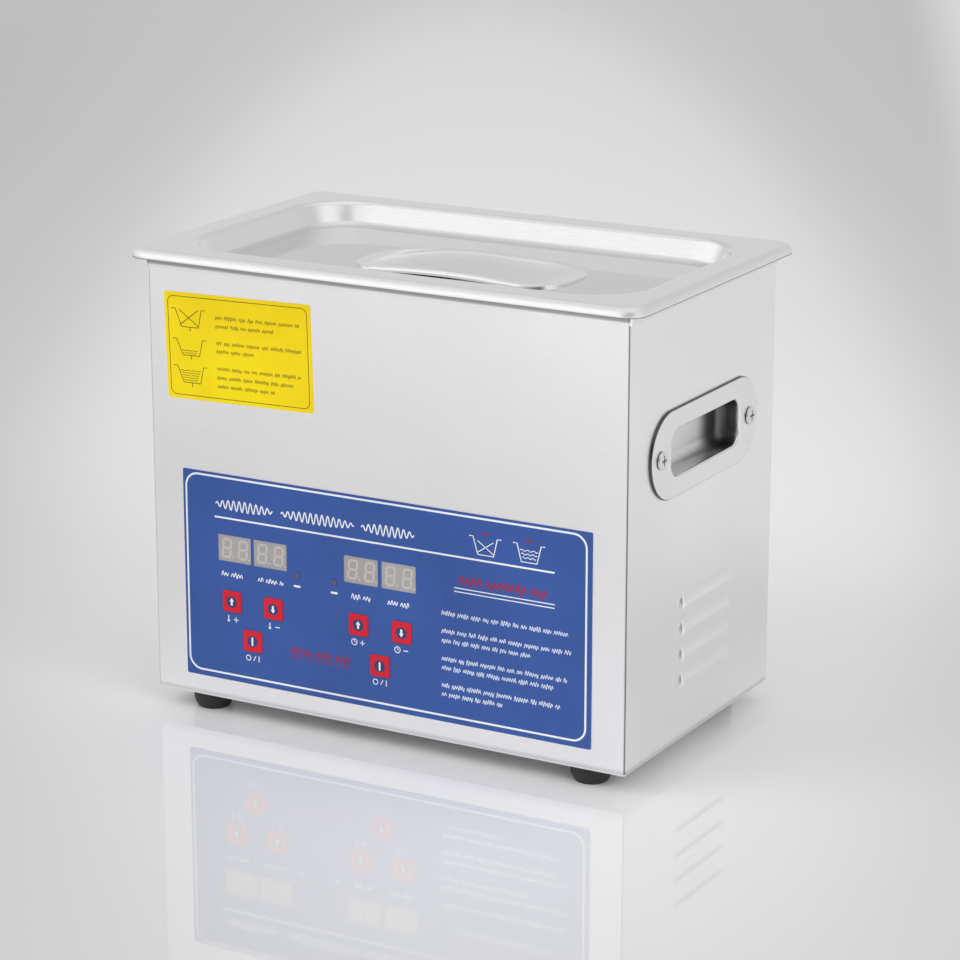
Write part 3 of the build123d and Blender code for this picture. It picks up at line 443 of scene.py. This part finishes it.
MATERIALS = {
    "brushed_stainless": sheet_metal("plate_satin_stainless", STEEL, 0.34, 0.10),
    "polished_stainless": tank_metal(),
    "lid_stainless": sheet_metal("grip_stainless", LID_STEEL, 0.16, 0.03, 0.03, LID_BRUSH),
    "basket_stainless": sheet_metal("basket_stainless", STEEL, 0.28, 0.05),
    "zinc_steel": sheet_metal("zinc_plated_steel", (0.80, 0.80, 0.79), 0.26, 0.05, 0.06, NO_BRUSH),
    "black_rubber": moulded("foot_rubber", (0.018, 0.018, 0.018), 0.55, 0.2, 700),
    "blue_overlay": printed_film("overlay_blue", (0.040, 0.097, 0.345), 0.5, 0.08),
    "clear_window": clear_pane("window_film", (0.80, 0.79, 0.78), 0.16),
    "display_grey": moulded("display_face", (0.330, 0.315, 0.300), 0.5, 0.05, 1200),
    "lamp_lens": moulded("lamp_lens", (0.075, 0.080, 0.155), 0.25, 0.02, 500, 0.6),
    "red_key": printed_film("key_red", (0.66, 0.012, 0.030), 0.45, 0.08),
    "yellow_sticker": printed_film("sticker_yellow", (1.0, 0.74, 0.004), 0.5, 0.05),
    "circuit_board": circuit_board("solder_mask", (0.010, 0.130, 0.045)),
    "black_plastic": moulded("black_plastic", (0.020, 0.020, 0.021), 0.42, 0.15, 800),
    "nylon_white": moulded("natural_nylon", (0.72, 0.70, 0.64), 0.45, 0.05, 600),
    "bare_aluminium": sheet_metal("machined_aluminium", (0.78, 0.79, 0.80), 0.32, 0.15, 0.06, (1, 1, 30)),
    "ferrite": moulded("ferrite", (0.045, 0.045, 0.048), 0.5, 0.3, 1200),
    "copper_wire": wound_wire("copper_windings", (0.62, 0.24, 0.09)),
    "copper_alloy": sheet_metal("contact_metal", (0.82, 0.68, 0.42), 0.28, 0.05, 0.05, NO_BRUSH),
    "piezo_ceramic": moulded("piezo_ceramic", (0.34, 0.31, 0.25), 0.6, 0.25, 1500),
    "capacitor_sleeve": moulded("capacitor_sleeve", (0.02, 0.03, 0.08), 0.3, 0.03, 300, 0.5),
    "silicone_pad": moulded("silicone_pad", (0.42, 0.12, 0.035), 0.6, 0.3, 500),
    "fuse_glass": clear_pane("fuse_glass", (0.82, 0.86, 0.86), 0.35),
    "rocker_red": moulded("rocker_plastic", (0.40, 0.015, 0.012), 0.22, 0.03, 500, 0.7),
}
NODE_MATERIALS = {
    "casing": casing_metal(),
    "lid": lid_metal(),
    "handle_left": handle_metal(),
    "handle_right": handle_metal(),
    "handle_screws": handle_screw_metal(),
}
INK = {
    "white_ink": printed_film("ink_white", (0.86, 0.89, 0.95), 0.5, 0.05),
    "dim_ink": printed_film("ink_pale", (0.74, 0.80, 0.92), 0.5, 0.05),
    "red_ink": printed_film("ink_red", (0.30, 0.030, 0.090), 0.45, 0.1),
    "navy_ink": printed_film("ink_navy", (0.040, 0.045, 0.160), 0.45, 0.1),
    "brown_ink": printed_film("ink_brown", (0.16, 0.088, 0.010), 0.5, 0.1),
    "segment_ink": printed_film("segment_face", (0.560, 0.490, 0.470), 0.5, 0.1),
}


def paint_cad():
    """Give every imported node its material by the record's slots."""
    for row in frame["record"]["subparts"]:
        node = frame["nodes"][row["node"]]
        node.data.materials.clear()
        node.data.materials.append(NODE_MATERIALS.get(row["node"], MATERIALS[row["material_slot"]]))


# ---------------------------------------------------------------- flat printed marks
def circle(u, v, r, steps):
    """Points round a circle."""
    turns = [2 * math.pi * i / steps for i in range(steps)]
    return [(u + r * math.cos(a), v + r * math.sin(a)) for a in turns]


class Print:
    """Gathers flat marks in one plane: u to the viewer's right and v up, in millimetres."""

    def __init__(self, name, y, thickness=0.03):
        self.name = name
        self.y = y
        self.thickness = thickness
        self.mesh = bmesh.new()

    def poly(self, points):
        """A filled outline, extruded to a thin slab."""
        front = [self.mesh.verts.new((u, self.y - self.thickness, v)) for u, v in points]
        back = [self.mesh.verts.new((u, self.y, v)) for u, v in points]
        self.mesh.faces.new(front)
        self.mesh.faces.new(list(reversed(back)))
        count = len(points)
        for i in range(count):
            j = (i + 1) % count
            self.mesh.faces.new((front[j], front[i], back[i], back[j]))

    def bar(self, u0, v0, u1, v1, width, steps=5):
        """A straight stroke with round ends."""
        angle = math.atan2(v1 - v0, u1 - u0)
        r = width / 2
        points = []
        for centre, turn in (((u1, v1), -math.pi / 2), ((u0, v0), math.pi / 2)):
            for i in range(steps + 1):
                a = angle + turn + math.pi * i / steps
                points.append((centre[0] + r * math.cos(a), centre[1] + r * math.sin(a)))
        self.poly(points)

    def disc(self, u, v, r, steps=40):
        self.poly(circle(u, v, r, steps))

    def ribbon(self, line, width, closed=False):
        """A stroke of even width along a line of points, as a strip of thin quads."""
        count = len(line)
        pairs = []
        for i, (u, v) in enumerate(line):
            a = line[(i - 1) % count] if closed or i else line[i]
            b = line[(i + 1) % count] if closed or i < count - 1 else line[i]
            du, dv = b[0] - a[0], b[1] - a[1]
            length = math.hypot(du, dv)
            n = (-dv / length * width / 2, du / length * width / 2)
            pairs.append(((u + n[0], v + n[1]), (u - n[0], v - n[1])))
        rings = []
        for outer, inner in pairs:
            rings.append([
                self.mesh.verts.new((outer[0], self.y - self.thickness, outer[1])),
                self.mesh.verts.new((inner[0], self.y - self.thickness, inner[1])),
                self.mesh.verts.new((inner[0], self.y, inner[1])),
                self.mesh.verts.new((outer[0], self.y, outer[1])),
            ])
        last = count if closed else count - 1
        for i in range(last):
            a, b = rings[i], rings[(i + 1) % count]
            for k in range(4):
                m = (k + 1) % 4
                self.mesh.faces.new((a[k], a[m], b[m], b[k]))
        if not closed:
            self.mesh.faces.new(list(reversed(rings[0])))
            self.mesh.faces.new(rings[-1])

    def finish(self, body, material, place=None):
        """Make the object, in metres, and let it ride."""
        bmesh.ops.recalc_face_normals(self.mesh, faces=self.mesh.faces)
        data = bpy.data.meshes.new(self.name)
        self.mesh.to_mesh(data)
        self.mesh.free()
        data.transform(Matrix.Scale(MM, 4))
        if place is not None:
            data.transform(place)
        obj = bpy.data.objects.new(self.name, data)
        bpy.context.scene.collection.objects.link(obj)
        data.materials.append(material)
        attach(obj, body)
        return obj


def rounded_loop(u0, v0, u1, v1, r, steps=8):
    """Points round a rectangle with rounded corners."""
    points = []
    corners = ((u1 - r, v1 - r, 0), (u0 + r, v1 - r, 90), (u0 + r, v0 + r, 180), (u1 - r, v0 + r, 270))
    for cu, cv, start in corners:
        for i in range(steps + 1):
            a = math.radians(start + 90 * i / steps)
            points.append((cu + r * math.cos(a), cv + r * math.sin(a)))
    return points


def word_line(sheet, rng, u0, u1, v, height, stroke=0.3, gap=1.1, low=2.6, high=8.0, pitch=0.62):
    """A greeked line of text: word-length scribbles, no letters."""
    u = u0
    while u < u1 - 1.0:
        length = min(rng.uniform(low, high), u1 - u)
        if u1 - (u + length) < low:
            length = u1 - u
        turns = max(2, round(length / pitch))
        peaks = [0.5 * height * rng.choice((0.8, 0.8, 1.0, 1.35)) for _ in range(turns + 1)]
        line = []
        for i in range(turns):
            for k in range(4):
                t = (i + k / 4) * length / turns
                blend = 0.5 - 0.5 * math.cos(math.pi * k / 4)
                level = peaks[i] * (1 - blend) - peaks[i + 1] * blend
                line.append((u + t, v + level * (1 if i % 2 else -1)))
        sheet.ribbon(line, stroke)
        u += length + gap


def wave_packet(sheet, u0, u1, v, height, width=0.62, period=3.1):
    """A sine burst that swells and fades between two ends."""
    steps = int((u1 - u0) / period * 14)
    line = []
    for i in range(steps + 1):
        t = i / steps
        swell = math.sin(math.pi * t) ** 0.45
        phase = 2 * math.pi * (u1 - u0) / period * t
        line.append((u0 + (u1 - u0) * t, v + height / 2 * swell * math.sin(phase)))
    sheet.ribbon(line, width)


def basin(sheet, left, right, top, base_left, base_right, base, stroke, drain=True):
    """A generic basin seen from the side: two lips, sloping walls and a flat base."""
    lip, drain_length = 2.0, 1.7
    sheet.ribbon([
        (left, top), (left + lip, top), (base_left, base),
        (base_right, base), (right - lip, top), (right, top),
    ], stroke)
    if drain:
        middle = (base_left + base_right) / 2
        sheet.bar(middle, base, middle, base - drain_length, stroke)


def arrow(sheet, u, v, size, sign):
    """A block arrow, pointing up for sign 1 and down for -1."""
    head, stem = size * 0.62, size * 0.26
    points = [
        (0, size), (head, size * 0.12), (stem, size * 0.12), (stem, -size * 0.85),
        (-stem, -size * 0.85), (-stem, size * 0.12), (-head, size * 0.12),
    ]
    sheet.poly([(u + du, v + sign * dv) for du, dv in points])


def plus_minus(sheet, u, v, size, plus, stroke):
    sheet.bar(u - size, v, u + size, v, stroke)
    if plus:
        sheet.bar(u, v - size, u, v + size, stroke)


def thermometer(sheet, u, v, size, stroke):
    """A bulb with a stem."""
    sheet.bar(u, v - size * 0.2, u, v + size, stroke)
    sheet.disc(u, v - size * 0.55, size * 0.45, steps=16)


def clock(sheet, u, v, size, stroke):
    """A dial with two hands."""
    sheet.ribbon(circle(u, v, size, 24), stroke, closed=True)
    sheet.bar(u, v, u, v + size * 0.6, stroke)
    sheet.bar(u, v, u + size * 0.45, v, stroke)


def panel_print():
    """White, pale and red marks on the blue overlay."""
    rng = random.Random(SEED)
    white = Print("panel_print_white", OVERLAY_Y)
    white.ribbon(rounded_loop(*PANEL_BORDER, PANEL_BORDER_R, 12), 0.95, closed=True)
    for u0, u1 in TITLE_SPANS:
        wave_packet(white, u0, u1, TITLE_V, TITLE_HEIGHT)
    white.bar(-90.3, TITLE_RULE_V, 89.0, TITLE_RULE_V, 0.85)
    for v in HEADING_RULES_V:
        white.bar(38.4, v, 89.4, v, 0.45)
    basin(white, 46.0, 62.4, BASIN_TOP, 50.4, 58.5, BASIN_BASE, 0.5, drain=False)
    white.bar(50.4, 107.8, 58.3, 102.4, 0.4)
    white.bar(58.3, 107.8, 50.4, 102.4, 0.4)
    basin(white, 68.4, 84.6, BASIN_TOP, 72.6, 80.5, BASIN_BASE, 0.5, drain=False)
    for row in range(3):
        v = BASIN_BASE + 2.0 + row * 1.7
        half = 3.5 + row * 0.55
        wave = [
            (76.5 - half + 2 * half * i / 24, v + 0.35 * math.sin(i * math.pi / 4))
            for i in range(25)
        ]
        white.ribbon(wave, 0.35)
    for u, plus in ((-81.8, True), (-58.8, False)):
        thermometer(white, u - 2.2, KEY_LEGEND_V + 0.1, 1.5, 0.5)
        plus_minus(white, u + 2.0, KEY_LEGEND_V, 1.05, plus, 0.45)
    for u, plus in ((-12.4, True), (10.7, False)):
        clock(white, u - 2.4, KEY_LEGEND_V, 1.45, 0.4)
        plus_minus(white, u + 2.0, KEY_LEGEND_V, 1.05, plus, 0.45)
    for u in (-70.6, -1.0):
        v = SWITCH_LEGEND_V
        white.ribbon(circle(u - 2.6, v, 1.25, 24), 0.4, closed=True)
        white.bar(u + 0.2, v - 1.0, u + 1.4, v + 1.2, 0.4)
        white.bar(u + 3.2, v - 1.2, u + 3.2, v + 1.3, 0.45)
    for u0, u1 in WINDOW_LEGEND_SPANS:
        word_line(white, rng, u0, u1, WINDOW_LEGEND_V, 2.0, 0.42, 1.2, 3.0, 6.5, 0.8)
    for u in (-45.6, -25.4):
        v = WINDOW_LEGEND_V + 0.1
        white.bar(u - 1.4, v, u + 1.4, v, 1.0)
    white.finish("housing", INK["white_ink"])

    pale = Print("panel_print_lines", OVERLAY_Y)
    for v, end in NOTE_LINES:
        word_line(pale, rng, NOTE_LEFT, end, v, 1.9, 0.34)
    pale.finish("housing", INK["dim_ink"])

    red = Print("panel_print_red", OVERLAY_Y)
    word_line(red, rng, 40.6, 86.0, HEADING_V, 3.6, 0.95, 1.9, 9.0, 22.0, 1.5)
    word_line(red, rng, -49.6, -17.0, 39.6, 3.0, 0.8, 1.6, 7.0, 14.0, 1.3)
    red.bar(-49.8, 36.5, -17.0, 36.5, 0.45)
    for u in (54.2, 76.5):
        red.bar(u - 1.8, 111.4, u + 1.8, 111.4, 0.8)
    red.finish("housing", INK["red_ink"])


# ---------------------------------------------------------------- displays
def segment_digit(sheet, u, v, w, h, stroke, slant=0.08):
    """Seven separate bars of one digit, leaning a little."""
    def at(du, dv):
        return u + du + dv * slant, v + dv

    half_w, half_h, gap = w / 2, h / 2, stroke * 0.62
    rows = (-half_h, 0.0, half_h)
    for dv in rows:
        sheet.bar(*at(-half_w + gap, dv), *at(half_w - gap, dv), stroke, steps=3)
    for du in (-half_w, half_w):
        for low, high in ((rows[0], rows[1]), (rows[1], rows[2])):
            sheet.bar(*at(du, low + gap), *at(du, high - gap), stroke, steps=3)


def displays():
    """Unlit segments on each display, under a thin clear film."""
    segments = Print("display_segments", FRONT_Y, 0.05)
    for u, v in WINDOWS:
        for du in (-4.5, 4.5):
            segment_digit(segments, u + du, v, 4.3, 8.6, 1.15)
            segments.disc(u + du + 3.4, v - 4.3, 0.55, steps=12)
    segments.finish("housing", INK["segment_ink"])

    panes = Print("display_panes", OVERLAY_Y + 0.12, 0.1)
    for u, v in WINDOWS:
        half_w, half_h = WINDOW_W / 2, WINDOW_H / 2
        panes.poly(rounded_loop(u - half_w, v - half_h, u + half_w, v + half_h, 0.4, 4))
    film = panes.finish("housing", MATERIALS["clear_window"])
    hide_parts("display_windows")


# ---------------------------------------------------------------- key faces
def key_faces():
    """A dark disc with a white arrow or bar on each key."""
    for name, (u, v, mark) in KEYS.items():
        body = f"key_{name}_body"
        disc = Print(f"key_{name}_disc", KEY_Y)
        disc.disc(u, v, 2.85)
        disc.finish(body, INK["navy_ink"])
        sign = Print(f"key_{name}_mark", KEY_Y - 0.03)
        if mark == "bar":
            sign.bar(u, v - 1.7, u, v + 1.7, 0.95)
        else:
            arrow(sign, u, v, 2.0, 1 if mark == "up" else -1)
        sign.finish(body, INK["white_ink"])


# ---------------------------------------------------------------- sticker
def sticker_print():
    """Border, three generic basin drawings and greeked lines, tilted with the sticker."""
    rng = random.Random(SEED + 1)
    ink = Print("sticker_print", LABEL_Y)
    half_w, half_h = LABEL_W / 2, LABEL_H / 2
    inner_w, inner_h = half_w - 1.9, half_h - 1.9
    ink.ribbon(rounded_loop(-inner_w, -inner_h, inner_w, inner_h, 3.0), 0.32, closed=True)

    def at(u, v):
        """Place from the sticker's upper left corner to its middle."""
        return u - half_w, half_h - v

    for index, (top, base) in enumerate(LABEL_BASINS):
        left, t = at(3.9, top)
        right, b = at(22.4, base)
        basin(ink, left, right, t, at(9.2, 0)[0], at(18.4, 0)[0], b, 0.42)
        if index == 0:
            ink.bar(left + 4.2, t - 0.4, right - 4.2, b + 0.7, 0.36)
            ink.bar(left + 4.2, b + 0.7, right - 4.2, t - 0.4, 0.36)
        for row in range(index * 3 - (1 if index else 0)):
            v = b + 1.1 + row * 1.15
            spread = 3.9 + row * 0.42
            middle = (left + right) / 2
            ink.ribbon([
                (middle - spread + 2 * spread * i / 20, v + 0.22 * math.sin(i * math.pi / 3))
                for i in range(21)
            ], 0.26)
    for v, end in LABEL_LINES:
        start, height = at(27.8, v)
        word_line(ink, rng, start, end - half_w, height, 1.5, 0.27)
    tilt = Matrix.Rotation(-math.radians(LABEL_TILT), 4, "Y")
    place = Matrix.Translation(Vector((LABEL_X, 0, LABEL_Z)) * MM) @ tilt
    ink.finish("housing", INK["brown_ink"], place)


# ---------------------------------------------------------------- lid grip
def grip_strap():
    """Pressed strap with a beaded edge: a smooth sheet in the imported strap's place."""
    low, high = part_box("lid_grip")
    centre_x = (low.x + high.x) / 2 / MM
    half_l, half_w = (high.x - low.x) / 2 / MM, (high.y - low.y) / 2 / MM
    floor_z, crown = low.z / MM, (high.z - low.z) / MM
    corner, thickness, edge_rise = 21.0, 0.9, 1.9
    pad = 47.0                 # the strap lies flat beyond this
    lip = 0.7                  # how far the edge turns down below the sheet
    rows, columns = 120, 17

    def outline_half(x):
        """Half width of the rounded rectangle at a place along the strap."""
        beyond = max(0.0, abs(x) - (half_l - corner))
        return half_w - corner + math.sqrt(max(0.0, corner ** 2 - beyond ** 2))

    def inset(x, y):
        """Distance inside the rounded rectangle's edge."""
        qx, qy = abs(x) - (half_l - corner), abs(y) - (half_w - corner)
        return corner - math.hypot(max(qx, 0.0), max(qy, 0.0)) - min(max(qx, qy), 0.0)

    def height(x, y):
        rise = max(0.0, 1 - (abs(x) / pad) ** 2) ** 1.25
        across = max(0.0, 1 - (y / half_w) ** 2) ** 1.7
        edge = inset(x, y)
        bead = 0.5 * math.exp(-((edge - 0.75) / 0.55) ** 2) - 0.45 * math.exp(-(edge / 0.28) ** 2)
        dome = crown - thickness - edge_rise
        return floor_z + thickness + rise * (edge_rise + dome * across) + bead * (0.35 + 0.65 * rise ** 0.5)

    spread = [1 - (i / (columns - 1)) ** 1.8 for i in range(columns)]
    spread = [-s for s in spread] + list(reversed(spread[:-1]))
    mesh = bmesh.new()
    top, bottom = [], []
    for i in range(rows + 1):
        x = half_l * math.sin(math.pi / 2 * (2 * i / rows - 1))
        half = outline_half(x)
        row_top, row_bottom = [], []
        for s in spread:
            y = s * half
            z = height(x, y)
            turned = lip * math.exp(-(inset(x, y) / 0.5) ** 2)
            row_top.append(mesh.verts.new((centre_x + x, y, z)))
            under = max(floor_z + 0.03, z - thickness - turned)
            row_bottom.append(mesh.verts.new((centre_x + x, y, under)))
        top.append(row_top)
        bottom.append(row_bottom)
    last = len(spread) - 1
    for i in range(rows):
        for j in range(last):
            mesh.faces.new((top[i][j], top[i + 1][j], top[i + 1][j + 1], top[i][j + 1]))
            mesh.faces.new((bottom[i][j], bottom[i][j + 1], bottom[i + 1][j + 1], bottom[i + 1][j]))
        for j in (0, last):
            mesh.faces.new((top[i][j], bottom[i][j], bottom[i + 1][j], top[i + 1][j]))
    for i in (0, rows):
        for j in range(last):
            mesh.faces.new((top[i][j], top[i][j + 1], bottom[i][j + 1], bottom[i][j]))
    bmesh.ops.recalc_face_normals(mesh, faces=mesh.faces)
    data = bpy.data.meshes.new("lid_grip_strap")
    mesh.to_mesh(data)
    mesh.free()
    data.transform(Matrix.Scale(MM, 4))
    for polygon in data.polygons:
        polygon.use_smooth = True
    data.set_sharp_from_angle(angle=math.radians(50))
    data.materials.append(MATERIALS["lid_stainless"])
    strap = bpy.data.objects.new("lid_grip_strap", data)
    bpy.context.scene.collection.objects.link(strap)
    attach(strap, "lid_body")
    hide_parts("lid_grip")


# ---------------------------------------------------------------- studio
def camera():
    """A long lens from the front right, a little above the lid."""
    data = bpy.data.cameras.new("camera")
    data.sensor_width = 36.0
    data.lens = CAMERA_LENS
    data.clip_end = 50
    view = bpy.data.objects.new("camera", data)
    place, aim = Vector(CAMERA_PLACE), Vector(CAMERA_AIM)
    view.location = place
    view.rotation_euler = (aim - place).to_track_quat("-Z", "Y").to_euler()
    bpy.context.scene.collection.objects.link(view)
    bpy.context.scene.camera = view


def tone_ramp(tree, value, tones):
    """Greys by a 0-1 value, blended smoothly."""
    ramp = tree.nodes.new("ShaderNodeValToRGB")
    ramp.color_ramp.interpolation = "B_SPLINE"
    stops = ramp.color_ramp.elements
    for stop, (where, tone) in zip(stops, (tones[0], tones[-1])):
        stop.position, stop.color = where, (tone, tone, tone, 1)
    for where, tone in tones[1:-1]:
        stops.new(where).color = (tone, tone, tone, 1)
    tree.links.new(value, ramp.inputs["Fac"])
    return ramp.outputs["Color"]


def floor():
    """Glossy pale floor with a painted pool of light, palest in an oval round the object."""
    data = bpy.data.meshes.new("floor")
    corners = [(-FLOOR_HALF, -FLOOR_HALF, 0), (FLOOR_HALF, -FLOOR_HALF, 0)]
    corners += [(FLOOR_HALF, FLOOR_HALF, 0), (-FLOOR_HALF, FLOOR_HALF, 0)]
    data.from_pydata(corners, [], [(0, 1, 2, 3)])
    obj = bpy.data.objects.new("floor", data)
    bpy.context.scene.collection.objects.link(obj)
    shader = Shader("floor_pale", (0.74, 0.74, 0.75), roughness=0.03, IOR=1.5)
    place = shader.node("ShaderNodeMapping", vector_type="TEXTURE")
    place.inputs["Location"].default_value = POOL_CENTRE
    place.inputs["Rotation"].default_value = (0, 0, math.radians(POOL_TURN))
    shader.link(shader.coords, place.inputs["Vector"])
    split = shader.node("ShaderNodeSeparateXYZ")
    shader.link(place.outputs["Vector"], split.inputs["Vector"])
    wide, deep = split.outputs["X"], split.outputs["Y"]
    across = shader.math("DIVIDE", wide, POOL_HALF_WIDTH)
    along = shader.math(
        "MAXIMUM", shader.math("DIVIDE", deep, POOL_BEHIND), shader.math("DIVIDE", deep, -POOL_BEFORE)
    )
    spread = shader.math(
        "ADD", shader.math("MULTIPLY", across, across), shader.math("MULTIPLY", along, along)
    )
    # Painted pool of light, then painted pale bands well before and well to the right of the object.
    pool = tone_ramp(shader.tree, shader.math("SQRT", spread), POOL_TONES)
    beside = shader.math("MULTIPLY_ADD", deep, RIGHT_SLANT, wide)
    pool = shader.blend(pool, shader.between(beside, RIGHT_START, RIGHT_END), RIGHT_TONE)
    pool = shader.blend(pool, shader.between(deep, NEAR_START, NEAR_END), NEAR_TONE)
    shader.link(pool, shader.bsdf.inputs["Base Color"])
    data.materials.append(shader.material)


def area_light(name, place, size, energy):
    """A soft box that lights the scene and leaves no glare of its own."""
    data = bpy.data.lights.new(name, "AREA")
    data.shape = "RECTANGLE"
    data.size, data.size_y = size
    data.energy = energy
    light = bpy.data.objects.new(name, data)
    light.location = place
    light.rotation_euler = (Vector(LIGHT_AIM) - Vector(place)).to_track_quat("-Z", "Y").to_euler()
    light.visible_glossy = False
    bpy.context.scene.collection.objects.link(light)


def studio():
    """Soft tent: one set of greys behind the object, one before it, and a dark opening at the front."""
    world = bpy.data.worlds.new("studio")
    bpy.context.scene.world = world
    world.use_nodes = True
    tree = world.node_tree
    background = tree.nodes["Background"]
    coords = tree.nodes.new("ShaderNodeTexCoord")
    split = tree.nodes.new("ShaderNodeSeparateXYZ")
    tree.links.new(coords.outputs["Generated"], split.inputs["Vector"])
    side = smooth_step(tree, split.outputs["Y"], TENT_TURN_START, TENT_TURN_END)
    tent = tree.nodes.new("ShaderNodeMix")
    tent.data_type = "RGBA"
    tree.links.new(tone_ramp(tree, split.outputs["Z"], TENT_BACK), tent.inputs["A"])
    tree.links.new(tone_ramp(tree, split.outputs["Z"], TENT_FRONT), tent.inputs["B"])
    tree.links.new(side, tent.inputs["Factor"])
    toward = tree.nodes.new("ShaderNodeVectorMath")
    toward.operation = "DOT_PRODUCT"
    toward.inputs[1].default_value = DARK_SIDE
    tree.links.new(coords.outputs["Generated"], toward.inputs[0])
    opening = tree.nodes.new("ShaderNodeMix")
    opening.data_type = "RGBA"
    opening.inputs["B"].default_value = (DARK_TONE, DARK_TONE, DARK_TONE, 1)
    patch = smooth_step(tree, toward.outputs["Value"], DARK_EDGE, DARK_MIDDLE)
    tree.links.new(patch, opening.inputs["Factor"])
    tree.links.new(tent.outputs["Result"], opening.inputs["A"])
    tree.links.new(opening.outputs["Result"], background.inputs["Color"])
    background.inputs["Strength"].default_value = TENT_STRENGTH
    area_light("front_right", (1.50, -0.80, 0.80), (1.5, 1.2), 15)
    area_light("front_left", (-1.10, -1.30, 1.50), (1.2, 1.0), 9)
    view = bpy.context.scene.view_settings
    view.view_transform = "Standard"
    view.look = "None"


paint_cad()
panel_print()
displays()
key_faces()
sticker_print()
grip_strap()
camera()
floor()
studio()

bpy.context.view_layer.update()
